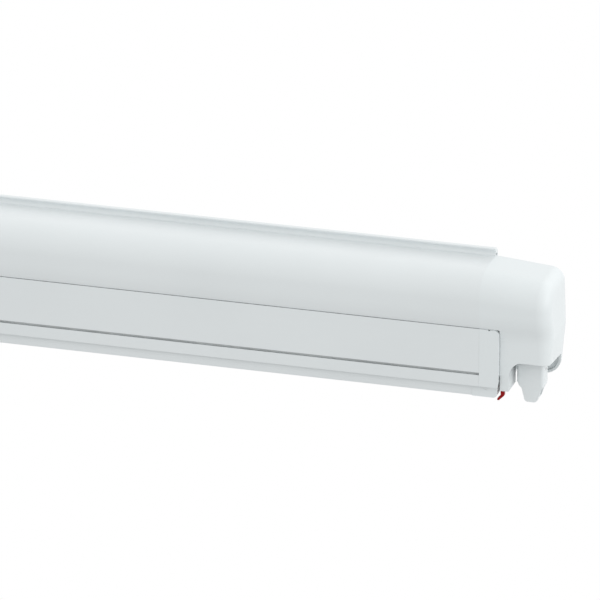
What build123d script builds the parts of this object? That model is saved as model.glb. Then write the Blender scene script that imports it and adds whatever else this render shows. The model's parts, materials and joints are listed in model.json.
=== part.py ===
from build123d import *
import math
import os

# Roll out awning in its closed cassette. Millimetres.
# +X runs along the awning to the crank end, -Y points away from the wall, +Z is up.
# The origin is the middle of the back face of the middle wall bracket.

# Overall sizes
awning_length = 2597.0
end_cap_length = 72.5

# General fits
overrun = 2.0
pin_clearance = 0.05
slide_clearance = 0.3
seat_clearance = 0.2
screw_clearance = 0.1

# Wall brackets
bracket_width = 80.0
bracket_height = 102.0
bracket_plate = 4.5
bracket_spacing = 900.0
bracket_top_drop = 10.0
bracket_hole_radius = 3.25
bracket_hole_pitch_x = 50.0
bracket_hole_pitch_z = 60.0
tongue_thickness = 4.7
tongue_root = 6.0
tongue_chamfer = 1.2
shelf_thickness = 4.5
shelf_depth = 36.0
lock_screw_radius = 2.5
lock_screw_head_radius = 4.5
lock_screw_head_height = 3.0

# Casing section
casing_wall = 2.0
hook_wall_gap = 1.0
hook_web_rise = 3.5
hook_leg_length = 11.5
lip_rise = 7.2
lip_thickness = 4.6
cove_radius = 3.4
cove_bite = 1.6
cove_depth = 3.6
cove_step = 0.4
roof_depth = 31.2
corner_depth = 27.2
corner_height = 27.2
bulge_turn_drop = 38.0
bulge_lip_drop = 55.5
bulge_lip_inset = 4.0
floor_drop = 104.0
floor_lip_rise = 3.0

# Roller and fabric
roll_radius = 26.0
roller_tube_radius = 20.0
roller_tube_wall = 1.5
roof_to_roll = 4.0
fabric_end_gap = 36.0
fabric_thickness = 0.6
roll_end_margin = 14.0
roller_shaft_radius = 6.0
plug_depth = 30.0

# Folding arms
arm_width = 20.0
arm_height = 34.0
arm_wall = 2.0
arm_corner = 4.0
arm_top_drop = 64.0
arm_back_gap = 2.2
arm_side_gap = 1.5
shoulder_end_margin = 120.5
elbow_from_middle = 98.0
knuckle_radius = 9.5
ear_radius = 10.0
ear_thickness = 6.5
ear_gap = 0.5
joint_pin_radius = 4.0
plug_insert = 28.0
elbow_reach = 34.0
shoulder_reach = 30.0
spring_radius = 7.6
spring_length = 640.0
spring_wall = 1.6
cable_radius = 1.5

# Lead bar
lead_proud = 0.7
lead_gap = 0.3
lead_height = 61.7
lead_depth = 13.0
lead_wall = 1.6
groove_drop = 47.0
groove_height = 2.6
groove_depth = 2.0
channel_drop = 47.4
foot_depth = 25.0
lead_cap_length = 20.3
lead_cap_margin = 0.5
lead_cap_corner = 5.0
lead_cap_bevel = 1.4
lead_cap_bevel_height = 7.0
lead_cap_hole_radius = 1.2
keder_radius = 2.3
keder_clearance = 0.3
keder_boss = 9.0
keder_drop = 5.0

# Support legs
leg_width = 17.0
leg_height = 22.0
leg_wall = 1.5
leg_corner = 2.0
leg_drop = 63.1
foot_from_middle = 151.5
inner_leg_stop = 10.7
leg_pivot_inset = 67.0
leg_end = 12.0
leg_end_corner = 4.6
leg_pin_radius = 3.0
knuckle_length = 40.0
lug_thickness = 5.0
lug_radius = 6.0
hinge_base_thickness = 1.5
hinge_base_length = 60.0
foot_length = 46.0
foot_plate = 3.5
foot_hole_radius = 4.5
foot_lug_thickness = 6.0
foot_pin_radius = 1.5
sole_inset = 2.0

# End caps
cap_wall = 2.5
cap_top_fall = 6.0
cap_corner = 14.0
cap_end_lean = 2.0
cap_side_drop = 64.0
cap_side_fall = 3.5
cap_rear_radius = 17.0
cap_rear_drop = 118.8
cap_front_setback = 4.0
cap_under_drop = 14.4
cap_cheek_thickness = 9.0
cap_cheek_gap = 0.3
cap_cheek_drop = 121.4
cap_cheek_depth = 28.0
arch_front_drop = 88.7
arch_rear_drop = 96.0
arch_radius = 17.0

# Winch and crank eye
winch_inset = 25.5
winch_plate = 7.0
winch_shelf = 5.0
winch_shelf_depth = 28.0
winch_boss_radius = 9.0
winch_skirt_width = 23.0
winch_skirt_depth = 10.0
winch_skirt_drop = 98.0
crank_shaft_radius = 4.0
bevel_ratio = 3.0
bevel_pinion_radius = 6.0
bevel_face_share = 0.4
bevel_gap = 0.3
bevel_hub_radius = 10.0
bevel_hub_length = 12.0
eye_top_drop = 92.0
eye_bottom_drop = 136.6
eye_width = 28.0
eye_depth = 18.0
eye_corner = 3.0
eye_body_height = 26.2
eye_neck_height = 7.0
eye_loop_width = 12.6
eye_bend = 3.5
eye_hole_width = 10.0
eye_hole_height = 11.0
eye_floor = 4.5
eye_pin_radius = 1.5
eye_pin_drop = 11.0

# Catches
catch_thickness = 5.0
catch_width = 3.6
catch_top_drop = 116.0
catch_knee_drop = 127.0
catch_tip_drop = 132.2
catch_tip_throw = 3.4
catch_pin_radius = 1.2
catch_pin_bite = 1.0
catch_slot_clearance = 0.4

# Screws
screw_radius = 2.0
cap_screw_length = 12.0
bracket_screw_length = 6.0
screw_head_radius = 3.6
screw_head_height = 2.2

# Heights, all measured down from the casing's flat top
top_z = bracket_height / 2 + bracket_top_drop
bulge_lip_z = top_z - bulge_lip_drop
floor_z = top_z - floor_drop
floor_top_z = floor_z + casing_wall

# Depths, from the wall forwards
hook_leg_front_y = -(hook_wall_gap + casing_wall)
tongue_back_y = hook_leg_front_y - slide_clearance
tongue_front_y = tongue_back_y - tongue_thickness
case_back_y = tongue_front_y - slide_clearance
chamber_back_y = case_back_y - casing_wall
roof_back_y = chamber_back_y - cove_depth
roof_front_y = roof_back_y - roof_depth
case_front_y = roof_front_y - corner_depth
chamber_front_y = case_front_y + casing_wall

# Lengths from the middle
half_length = awning_length / 2
casing_half = half_length - end_cap_length

# Fabric and roller
fabric_width = 2 * (casing_half - fabric_end_gap)
roll_y = (chamber_back_y + chamber_front_y) / 2
roll_z = top_z - casing_wall - roof_to_roll - roll_radius
roller_half = fabric_width / 2 + roll_end_margin

# Arms
shoulder_x = half_length - shoulder_end_margin
elbow_x = elbow_from_middle
upper_arm_y = chamber_back_y - arm_back_gap - arm_width / 2
forearm_y = upper_arm_y - arm_width - arm_side_gap
elbow_y = (upper_arm_y + forearm_y) / 2
arm_top_z = top_z - arm_top_drop
arm_bottom_z = arm_top_z - arm_height
tongue_top_z = arm_top_z - ear_thickness - ear_gap
tongue_bottom_z = arm_bottom_z + ear_thickness + ear_gap

# Lead bar
lead_front_y = case_front_y + bulge_lip_inset - lead_proud
lead_back_y = lead_front_y + lead_depth
lead_top_z = bulge_lip_z - lead_gap
lead_bottom_z = lead_top_z - lead_height
groove_top_z = lead_top_z - groove_drop
groove_bottom_z = groove_top_z - groove_height
channel_z = lead_top_z - channel_drop - lead_wall
foot_back_y = lead_front_y + foot_depth
channel_front_y = lead_front_y + lead_wall
channel_back_y = foot_back_y - lead_wall
leg_y = (channel_front_y + channel_back_y) / 2
lead_half = casing_half - lead_cap_margin
lead_end_x = lead_half + lead_cap_length
keder_y = lead_back_y - keder_boss / 2 + lead_wall / 2
keder_z = lead_top_z - keder_drop
floor_front_y = foot_back_y + slide_clearance

# Legs
leg_pivot_x = half_length - leg_pivot_inset
leg_z = top_z - leg_drop - bulge_lip_drop
leg_top_z = leg_z + leg_height / 2
leg_bottom_z = leg_z - leg_height / 2
foot_pivot_x = foot_from_middle + foot_length
outer_leg_end_x = foot_pivot_x + leg_height / 2 + slide_clearance
leg_tube_x = leg_pivot_x - knuckle_length / 2 + lug_radius

# Winch
crank_x = half_length - winch_inset
bevel_wheel_radius = bevel_pinion_radius * bevel_ratio
cheek_x = lead_end_x + cap_cheek_gap
cheek_front_y = lead_front_y + cap_front_setback
eye_top_z = top_z - eye_top_drop
eye_bottom_z = top_z - eye_bottom_drop


def block(x_limits, y_limits, z_limits):
    """Box between pairs of limits."""
    x0, x1 = sorted(x_limits)
    y0, y1 = sorted(y_limits)
    z0, z1 = sorted(z_limits)
    middle = Location(((x0 + x1) / 2, (y0 + y1) / 2, (z0 + z1) / 2))
    return middle * Box(x1 - x0, y1 - y0, z1 - z0)


def rod_x(x0, x1, y, z, radius):
    return Location(((x0 + x1) / 2, y, z), (0, 90, 0)) * Cylinder(radius, abs(x1 - x0))


def rod_y(x, y0, y1, z, radius):
    return Location((x, (y0 + y1) / 2, z), (90, 0, 0)) * Cylinder(radius, abs(y1 - y0))


def rod_z(x, y, z0, z1, radius):
    return Location((x, y, (z0 + z1) / 2)) * Cylinder(radius, abs(z1 - z0))


def along_x(profile, x0, x1):
    """Extrude a profile drawn as (y, z) from x0 to x1."""
    plane = Plane(origin=(x0, 0, 0), x_dir=(0, 1, 0), z_dir=(1, 0, 0))
    return extrude(plane * profile, x1 - x0)


def along_y(profile, y0, y1):
    """Extrude a profile drawn as (x, z) from y0 back to y1."""
    plane = Plane(origin=(0, y1, 0), x_dir=(1, 0, 0), z_dir=(0, -1, 0))
    return extrude(plane * profile, y1 - y0)


def along_z(profile, z0, z1):
    """Extrude a profile drawn as (x, y) from z0 up to z1."""
    return extrude(Plane.XY.offset(z0) * profile, z1 - z0)


def polygon(*points):
    return make_face(Polyline(*points, close=True))


def rounded_tube(x0, x1, y, z, width, height, corner, wall):
    """Rectangular tube along X with rounded corners."""
    outside = Location((y, z)) * RectangleRounded(width, height, corner)
    inside_corner = max(corner - wall, wall / 4)
    inside = Location((y, z)) * RectangleRounded(width - 2 * wall, height - 2 * wall, inside_corner)
    return along_x(outside - inside, x0, x1)


def rounded_bar(x0, x1, y, z, width, height, corner):
    return along_x(Location((y, z)) * RectangleRounded(width, height, corner), x0, x1)


def other_side(shape):
    return mirror(shape, about=Plane.YZ)


def bulge_outline(inset, rear_y, bottom_z):
    """Front and top of the bulge as a closed (y, z) face, drawn in by inset."""
    turn_z = top_z - bulge_turn_drop
    front = case_front_y + inset
    lip = Vector(front + bulge_lip_inset, bottom_z)
    shoulder = Vector(front, top_z - corner_height)
    roof_front = Vector(roof_front_y, top_z - inset)
    curl = TangentArc((front, turn_z), lip, tangent=(0, -1))
    face = Line((front, turn_z), shoulder)
    corner = EllipticalCenterArc(
        (roof_front_y, top_z - corner_height), corner_depth - inset, corner_height - inset,
        start_angle=90, arc_size=90)
    roof = Line(roof_front, (rear_y, top_z - inset))
    rear = Line((rear_y, top_z - inset), (rear_y, bottom_z))
    under = Line((rear_y, bottom_z), lip)
    return make_face([curl, face, corner, roof, rear, under])


def rect(y_limits, z_limits):
    """Rectangle between limits, used for (y, z), (x, z) and (x, y) profiles alike."""
    y0, y1 = sorted(y_limits)
    z0, z1 = sorted(z_limits)
    return Location(((y0 + y1) / 2, (z0 + z1) / 2)) * Rectangle(y1 - y0, z1 - z0)


def make_casing():
    """Extruded cassette: bulge over the roll, back wall, floor, top rail and hanging hook."""
    shell = bulge_outline(0, chamber_back_y, bulge_lip_z)
    shell -= bulge_outline(casing_wall, chamber_back_y + overrun, bulge_lip_z)
    shell -= rect((roof_back_y, chamber_back_y + overrun), (top_z - cove_step, top_z + overrun))
    shell += rect((roof_back_y - casing_wall, chamber_back_y),
                  (top_z - cove_step - casing_wall, top_z - cove_step))
    shell += rect((case_back_y, chamber_back_y), (floor_z, top_z + hook_web_rise))
    lip_top_z = top_z + lip_rise
    hook_top_z = top_z + hook_web_rise
    shell += rect((chamber_back_y, chamber_back_y + lip_thickness),
                  (hook_top_z - casing_wall, lip_top_z))
    cove_z = top_z - cove_step + cove_radius
    cove_y = chamber_back_y - cove_radius + cove_bite
    shell -= Location((cove_y, cove_z)) * Circle(cove_radius)
    shell += rect((case_back_y, -hook_wall_gap), (hook_top_z - casing_wall, hook_top_z))
    shell += rect((hook_leg_front_y, -hook_wall_gap), (hook_top_z - hook_leg_length, hook_top_z))
    shell += rect((floor_front_y, case_back_y), (floor_z, floor_top_z))
    shell += rect((floor_front_y, floor_front_y + casing_wall), (floor_z, floor_top_z + floor_lip_rise))
    casing = along_x(shell, -casing_half, casing_half)
    for x in bracket_places():
        hole_radius = lock_screw_radius + screw_clearance
        casing -= rod_z(x, -shelf_depth / 2, floor_z - overrun, floor_top_z + overrun, hole_radius)
    for hole in bracket_screw_holes(chamber_back_y):
        casing = casing - hole - other_side(hole)
    return casing


def bracket_places():
    return [-bracket_spacing, 0, bracket_spacing]


def make_wall_bracket(x):
    """Wall plate with a hooked tongue above and a shelf under the casing's floor."""
    plate_top = bracket_height / 2
    shelf_top = floor_z - seat_clearance
    web_z = top_z + hook_web_rise - casing_wall
    profile = rect((-bracket_plate, 0), (-plate_top, plate_top))
    profile += rect((tongue_front_y, tongue_back_y), (plate_top - tongue_root, web_z - slide_clearance))
    profile += rect((-shelf_depth, 0), (shelf_top - shelf_thickness, shelf_top))
    profile += rect((case_back_y + seat_clearance, 0), (shelf_top, shelf_top + tongue_root))
    bracket = along_x(profile, x - bracket_width / 2, x + bracket_width / 2)
    tip = bracket.edges().filter_by(Axis.X).group_by(Axis.Z)[-1]
    bracket = chamfer(tip, tongue_chamfer)
    for side_x in (-1, 1):
        for side_z in (-1, 1):
            hole_x = x + side_x * bracket_hole_pitch_x / 2
            hole_z = side_z * bracket_hole_pitch_z / 2
            bracket -= rod_y(hole_x, -bracket_plate - overrun, overrun, hole_z, bracket_hole_radius)
    hole_radius = lock_screw_radius + screw_clearance
    bracket -= rod_z(x, -shelf_depth / 2, shelf_top - shelf_thickness - overrun, shelf_top + overrun,
                     hole_radius)
    return bracket


def make_lock_screws():
    """One screw up through each bracket's shelf into the casing's floor."""
    head_top = floor_z - seat_clearance - shelf_thickness
    screws = []
    for x in bracket_places():
        screw = rod_z(x, -shelf_depth / 2, head_top, floor_top_z + casing_wall, lock_screw_radius)
        head = rod_z(x, -shelf_depth / 2, head_top - lock_screw_head_height, head_top,
                     lock_screw_head_radius)
        screws.append(screw + head)
    return Compound(children=screws)


def make_roller_tube():
    tube = rod_x(-roller_half, roller_half, roll_y, roll_z, roller_tube_radius)
    return tube - rod_x(-roller_half - overrun, roller_half + overrun, roll_y, roll_z,
                        roller_tube_radius - roller_tube_wall)


def make_fabric_roll():
    """Wound fabric on the roller tube."""
    half = fabric_width / 2
    roll = rod_x(-half, half, roll_y, roll_z, roll_radius)
    return roll - rod_x(-half - overrun, half + overrun, roll_y, roll_z,
                        roller_tube_radius + pin_clearance)


def make_roller_plug(shaft_end):
    """Plug in the roller tube's end with the shaft that carries it."""
    bore_radius = roller_tube_radius - roller_tube_wall - pin_clearance
    plug = rod_x(roller_half - plug_depth, roller_half, roll_y, roll_z, bore_radius)
    return plug + rod_x(roller_half, shaft_end, roll_y, roll_z, roller_shaft_radius)


def make_roller_plugs():
    """Long-shafted plug at the winch, short one at the other end."""
    right = make_roller_plug(crank_x - bevel_pinion_radius)
    left = other_side(make_roller_plug(casing_half + winch_plate))
    return Compound(children=[right, left])


def bevel_cone(large_radius, small_radius, height):
    """Gear cone standing on +Z, large end down."""
    return Location((0, 0, height / 2)) * Cone(large_radius, small_radius, height)


def make_bevel_wheel():
    """Large bevel gear on the roller's shaft."""
    face_length = bevel_pinion_radius * bevel_face_share
    back_x = crank_x - bevel_pinion_radius
    small_radius = bevel_wheel_radius * (1 - bevel_face_share)
    cone = bevel_cone(bevel_wheel_radius, small_radius, face_length)
    wheel = Location((back_x, roll_y, roll_z), (0, 90, 0)) * cone
    wheel += rod_x(back_x - casing_wall, back_x, roll_y, roll_z, bevel_wheel_radius)
    wheel += rod_x(back_x - bevel_hub_length, back_x, roll_y, roll_z, bevel_hub_radius)
    bore_radius = roller_shaft_radius + pin_clearance
    return wheel - rod_x(back_x - bevel_hub_length - overrun, crank_x, roll_y, roll_z, bore_radius)


def make_crank_shaft():
    """Upright shaft with the bevel pinion on its upper end."""
    large_z = roll_z - bevel_wheel_radius - bevel_gap
    height = bevel_wheel_radius * bevel_face_share
    small_radius = bevel_pinion_radius * (1 - bevel_face_share)
    cone = bevel_cone(bevel_pinion_radius, small_radius, height)
    shaft = Location((crank_x, roll_y, large_z)) * cone
    shaft += rod_z(crank_x, roll_y, eye_shaft_end_z(), large_z, crank_shaft_radius)
    return shaft - rod_x(crank_x - eye_width, crank_x + eye_width, roll_y, eye_top_z - eye_pin_drop,
                         eye_pin_radius + pin_clearance)


def eye_front_view():
    """Crank eye's outline: a broad body, sloping shoulders and a narrow loop."""
    shoulder_z = eye_top_z - eye_body_height
    neck_z = shoulder_z - eye_neck_height
    half_body = eye_width / 2
    half_loop = eye_loop_width / 2
    right = [(half_body, eye_top_z), (half_body, shoulder_z), (half_loop, neck_z),
             (half_loop, eye_bottom_z)]
    left = [(-x, z) for x, z in reversed(right)]
    outline = Location((crank_x, 0)) * polygon(*right, *left)
    lower = outline.vertices().filter_by(lambda corner: corner.Y < eye_top_z - eye_bend)
    return fillet(lower, eye_bend)


def make_crank_eye():
    """Loop that the crank handle hooks into, with its broad body above."""
    half_depth = eye_depth / 2
    eye = along_y(eye_front_view(), roll_y - half_depth, roll_y + half_depth)
    plan = Location((crank_x, roll_y)) * RectangleRounded(eye_width, eye_depth, eye_corner)
    plan += Location((crank_x, roll_y)) * Rectangle(eye_loop_width, eye_depth)
    eye = eye & along_z(plan, eye_bottom_z, eye_top_z)
    hole_z = eye_bottom_z + eye_floor + eye_hole_height / 2
    hole_corner = eye_hole_width / 2 - eye_pin_radius
    hole = Location((roll_y, hole_z)) * RectangleRounded(eye_hole_width, eye_hole_height, hole_corner)
    eye -= along_x(hole, crank_x - eye_width, crank_x + eye_width)
    eye -= rod_z(crank_x, roll_y, eye_shaft_end_z(), eye_top_z + overrun,
                 crank_shaft_radius + pin_clearance)
    pin_z = eye_top_z - eye_pin_drop
    return eye - rod_x(crank_x - eye_width, crank_x + eye_width, roll_y, pin_z,
                       eye_pin_radius + pin_clearance)


def eye_shaft_end_z():
    return eye_top_z - 2 * eye_pin_drop


def make_eye_pin():
    """Cross pin through the eye and the shaft."""
    half = eye_width / 2
    return rod_x(crank_x - half, crank_x + half, roll_y, eye_top_z - eye_pin_drop, eye_pin_radius)


def bearing_plate(shaft_radius):
    """Plate on the casing's end that carries the roller, shaped to the bulge."""
    fall = cap_top_fall * winch_plate / end_cap_length
    inset = cap_wall + seat_clearance + fall
    outline = bulge_outline(inset, case_back_y - inset, bulge_lip_z + seat_clearance)
    plate = along_x(outline, casing_half + seat_clearance, casing_half + winch_plate)
    bore_radius = shaft_radius + pin_clearance
    plate -= rod_x(casing_half - overrun, half_length, roll_y, roll_z, bore_radius)
    for z in cap_screw_places():
        plate -= rod_y(cap_screw_x(), case_back_y - cap_screw_length - overrun, case_back_y, z,
                       screw_radius + screw_clearance)
    return plate


def make_gear_housing():
    """Winch body: bearing plate, shelf, crank boss and the skirt behind the crank eye."""
    housing = bearing_plate(roller_shaft_radius)
    shelf_top = roll_z - bevel_wheel_radius - bevel_gap - seat_clearance
    shelf_y = (roll_y - winch_shelf_depth / 2, roll_y + winch_shelf_depth / 2)
    shelf_end = crank_x + winch_boss_radius
    boss_bottom = eye_top_z + seat_clearance
    housing += block((casing_half + winch_plate / 2, shelf_end), shelf_y,
                     (shelf_top - winch_shelf, shelf_top))
    housing += rod_z(crank_x, roll_y, boss_bottom, shelf_top, winch_boss_radius)
    skirt_y = chamber_back_y - cap_wall - seat_clearance
    skirt_front_y = skirt_y - winch_skirt_depth
    skirt_x = (crank_x - winch_boss_radius, crank_x - winch_boss_radius + winch_skirt_width)
    housing += block(skirt_x, (skirt_front_y, skirt_y), (top_z - winch_skirt_drop, shelf_top))
    web_half = winch_boss_radius / 2
    housing += block((crank_x - web_half, crank_x + web_half), (roll_y, skirt_y),
                     (boss_bottom + seat_clearance, shelf_top))
    bore_radius = crank_shaft_radius + pin_clearance
    housing -= rod_z(crank_x, roll_y, boss_bottom - overrun, shelf_top + overrun, bore_radius)
    cheek = block((lead_half, cheek_x + cap_cheek_thickness + seat_clearance),
                  (cheek_front_y, skirt_y), (shelf_top - winch_shelf - overrun, floor_z))
    return housing - cheek


def side_mask():
    """Right end cap's drafted side and round rear corner, seen from the front."""
    side_z = top_z - cap_side_drop
    bottom_z = top_z - cap_rear_drop
    side_x = half_length - cap_side_fall
    rear_z = bottom_z + cap_rear_radius
    upper = Polyline((casing_half, bottom_z), (casing_half, top_z), (half_length, top_z),
                     (half_length, side_z), (side_x, rear_z))
    turn = RadiusArc((side_x, rear_z), (side_x - cap_rear_radius, bottom_z), cap_rear_radius)
    foot = Line((side_x - cap_rear_radius, bottom_z), (casing_half, bottom_z))
    return make_face([upper, turn, foot])


def cap_profile(x, inset, fall):
    """End cap's section at x, drawn in by inset; a closed end has a lowered roof and leans in."""
    turn_z = top_z - bulge_turn_drop
    corner_z = top_z - corner_height - fall
    roof_z = top_z - inset - fall
    lowest = top_z - cap_cheek_drop
    front = case_front_y + inset
    rear_y = case_back_y - inset
    under_front = cheek_front_y + inset
    lip = Vector(front + bulge_lip_inset, bulge_lip_z)
    curl_foot = (under_front, bulge_lip_z - cap_under_drop)
    corner = EllipticalCenterArc((roof_front_y, corner_z), corner_depth - inset,
                                 corner_height - inset, start_angle=90, arc_size=90)
    back = Polyline((roof_front_y, roof_z), (rear_y, roof_z), (rear_y, lowest),
                    (under_front, lowest), curl_foot)
    under = TangentArc(curl_foot, lip, tangent=(0, 1))
    curl = TangentArc((front, turn_z), lip, tangent=(0, -1))
    face = Line((front, turn_z), (front, corner_z))
    lean = math.radians(cap_end_lean) if fall else 0
    plane = Plane(origin=(x, 0, 0), x_dir=(0, 1, 0), z_dir=(math.cos(lean), 0, math.sin(lean)))
    return plane * make_face([corner, back, under, curl, face])


def cap_body(inset):
    """Solid of the end cap's outside, or of its hollow when drawn in by the wall."""
    lowest = top_z - cap_cheek_drop
    rear_y = case_back_y - inset
    open_end = cap_profile(casing_half, inset, 0)
    closed_end = cap_profile(half_length - inset, inset, cap_top_fall)
    body = loft([open_end, closed_end], ruled=True)
    rounded = []
    for edge in body.faces().sort_by(Axis.X)[-1].edges():
        middle = edge.center()
        if middle.Y < rear_y - cap_wall / 2 and middle.Z > lowest + cap_wall / 2:
            rounded.append(edge)
    body = fillet(rounded, cap_corner - inset)
    below = block((casing_half - overrun, cheek_x), (case_front_y, 0), (lowest - overrun, bulge_lip_z))
    mask = side_mask()
    if inset > 0:
        mask = offset(mask, -inset, kind=Kind.INTERSECTION)
        mask += rect((casing_half, casing_half + inset), (lowest, top_z))
        mask += rect((casing_half, cheek_x + cap_cheek_thickness), (lowest, bulge_lip_z))
        mask += rect((casing_half, half_length - inset), (bulge_lip_z, top_z))
    body = (body - below) & along_y(mask, case_front_y - overrun, 0)
    if inset == 0:
        body += block((casing_half, cheek_x), (case_back_y, chamber_back_y), (floor_z, bulge_lip_z))
    return body


def make_end_cap():
    """Right end cap: a moulded shell with a cheek beside the lead bar and an arch below."""
    shell = cap_body(0) - cap_body(cap_wall)
    cheek_end = cheek_x + cap_cheek_thickness
    cheek_bottom = top_z - cap_cheek_drop
    cheek_z = (cheek_bottom, bulge_lip_z - casing_wall)
    cheek = block((cheek_x, cheek_end), (cheek_front_y, cheek_front_y + cap_cheek_depth), cheek_z)
    thin_end = cheek_x + cap_wall
    cheek += block((cheek_x, thin_end), (cheek_front_y, case_back_y), cheek_z)
    shell += cheek
    arch_z = top_z - arch_front_drop
    rear_z = top_z - arch_rear_drop
    inner_rear_y = chamber_back_y - cap_wall
    low = cheek_bottom - overrun
    side_view = polygon((case_front_y - overrun, arch_z), (inner_rear_y, rear_z),
                        (inner_rear_y, low), (case_front_y - overrun, low))
    opening = along_x(side_view, cheek_end, half_length + overrun)
    corner_x = cheek_end + arch_radius
    keep = block((cheek_end - overrun, corner_x), (case_front_y, 0), (arch_z - arch_radius, arch_z))
    keep -= rod_y(corner_x, case_front_y - overrun, overrun, arch_z - arch_radius, arch_radius)
    front_wall = cheek_front_y + cap_wall
    keep = keep & block((cheek_end - overrun, corner_x), (case_front_y, front_wall), (low, arch_z))
    shell -= opening - keep
    shell -= block((cheek_end, half_length + overrun), (front_wall, inner_rear_y),
                   (low, cheek_bottom + cap_wall))
    below = block((casing_half - overrun, cheek_x), (case_front_y, case_back_y), (low, floor_z))
    shell -= below
    shell -= catch_slot()
    for z in cap_screw_places():
        shell -= rod_y(cap_screw_x(), case_back_y - cap_screw_length, 0, z,
                       screw_radius + screw_clearance)
    return shell


def catch_slot():
    """Slot in the cheek that the catch hangs in."""
    x0, x1 = catch_x_limits()
    y0, y1 = catch_y_limits()
    gap = catch_slot_clearance
    bottom = top_z - cap_cheek_drop
    top = top_z - catch_top_drop + catch_width
    slot = block((x0 - gap, x1 + gap + catch_width / 2), (y0 - gap, y1 + gap), (bottom - overrun, top))
    return slot + rod_y(catch_pin_x(), y0 - catch_pin_bite, y1 + catch_pin_bite, catch_pin_z(),
                        catch_pin_radius + pin_clearance)


def catch_x_limits():
    middle = cheek_x + cap_cheek_thickness / 4
    return (middle - catch_width / 2, middle + catch_width / 2)


def catch_y_limits():
    y0 = cheek_front_y + cap_wall / 2
    return (y0, y0 + catch_thickness)


def catch_pin_x():
    x0, x1 = catch_x_limits()
    return (x0 + x1) / 2


def catch_pin_z():
    return top_z - catch_top_drop


def make_catch():
    """Small claw that hangs from the cheek and holds the stored leg's end."""
    x0, x1 = catch_x_limits()
    y0, y1 = catch_y_limits()
    pin_z = catch_pin_z()
    knee_z = top_z - catch_knee_drop
    tip_z = top_z - catch_tip_drop
    stem = rect((x0, x1), (knee_z, pin_z))
    stem += Location((catch_pin_x(), pin_z)) * Circle(catch_width / 2)
    claw = polygon((x0, knee_z + catch_width / 2), (x1, knee_z + catch_width / 2), (x1, knee_z),
                   (x0 - catch_tip_throw + catch_width / 2, tip_z), (x0 - catch_tip_throw, tip_z),
                   (x0 - catch_tip_throw, tip_z + catch_width / 2), (x0, knee_z))
    catch = along_y(stem + claw, y0, y1)
    return catch - rod_y(catch_pin_x(), y0 - overrun, y1 + overrun, pin_z,
                         catch_pin_radius + pin_clearance)


def make_catch_pin():
    y0, y1 = catch_y_limits()
    return rod_y(catch_pin_x(), y0 - catch_pin_bite, y1 + catch_pin_bite, catch_pin_z(),
                 catch_pin_radius)


def cap_screw_x():
    return casing_half + winch_plate / 2


def cap_screw_places():
    """Heights of the screws through the end cap's back into the bearing plate."""
    return [top_z - bulge_lip_drop / 4, top_z - bulge_lip_drop * 3 / 4]


def make_cap_screws():
    screws = []
    for side in (-1, 1):
        for z in cap_screw_places():
            x = side * cap_screw_x()
            shank = rod_y(x, case_back_y - cap_screw_length, case_back_y, z, screw_radius)
            head = rod_y(x, case_back_y, case_back_y + screw_head_height, z, screw_head_radius)
            screws.append(shank + head)
    return Compound(children=screws)


def arm_end(pivot_x, pivot_y, tube_end_x, tube_y, radius, forked):
    """Casting on an arm tube's end: plug, collar and a tongue or a pair of ears on the pivot."""
    toward_pivot = math.copysign(1, pivot_x - tube_end_x)
    collar_x = tube_end_x + toward_pivot * ear_thickness
    arm_z = (arm_bottom_z, arm_top_z)
    middle_z = (arm_bottom_z + arm_top_z) / 2
    half = arm_width / 2
    casting = block((tube_end_x, collar_x), (tube_y - half, tube_y + half), arm_z)
    plug_width = arm_width - 2 * arm_wall - 2 * seat_clearance
    plug_height = arm_height - 2 * arm_wall - 2 * seat_clearance
    plug_x = sorted((tube_end_x, tube_end_x - toward_pivot * plug_insert))
    casting += rounded_bar(*plug_x, tube_y, middle_z, plug_width, plug_height, arm_corner - arm_wall)
    neck = polygon((pivot_x, pivot_y - radius), (pivot_x, pivot_y + radius),
                   (collar_x, tube_y + half), (collar_x, tube_y - half))
    plan = neck + Location((pivot_x, pivot_y)) * Circle(radius)
    layers = [(tongue_bottom_z, tongue_top_z)]
    if forked:
        layers = [(arm_bottom_z, arm_bottom_z + ear_thickness), (arm_top_z - ear_thickness, arm_top_z)]
    for low, high in layers:
        casting += along_z(plan, low, high)
    return casting - rod_z(pivot_x, pivot_y, arm_bottom_z - overrun, arm_top_z + overrun,
                           joint_pin_radius + pin_clearance)


def upper_arm_span():
    return (elbow_x + elbow_reach, shoulder_x - shoulder_reach)


def make_arm_tube(tube_y):
    middle_z = (arm_bottom_z + arm_top_z) / 2
    return rounded_tube(*upper_arm_span(), tube_y, middle_z, arm_width, arm_height, arm_corner, arm_wall)


def make_joint_pin(x, y):
    return rod_z(x, y, arm_bottom_z, arm_top_z, joint_pin_radius)


def make_arm_spring():
    """Tension spring inside the upper arm, drawn as a tube of its outer size."""
    middle_z = (arm_bottom_z + arm_top_z) / 2
    x1 = shoulder_x - shoulder_reach - plug_insert - seat_clearance
    x0 = x1 - spring_length
    spring = rod_x(x0, x1, upper_arm_y, middle_z, spring_radius)
    return spring - rod_x(x0 - overrun, x1 + overrun, upper_arm_y, middle_z, spring_radius - spring_wall)


def make_arm_cable():
    """Cable from the spring to the elbow, with a ferrule held in the spring's end."""
    middle_z = (arm_bottom_z + arm_top_z) / 2
    spring_x = shoulder_x - shoulder_reach - plug_insert - seat_clearance - spring_length
    x0 = elbow_x + elbow_reach + plug_insert + seat_clearance
    cable = rod_x(x0, spring_x, upper_arm_y, middle_z, cable_radius)
    ferrule_radius = spring_radius - spring_wall - seat_clearance
    return cable + rod_x(spring_x, spring_x + plug_insert, upper_arm_y, middle_z, ferrule_radius)


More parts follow.
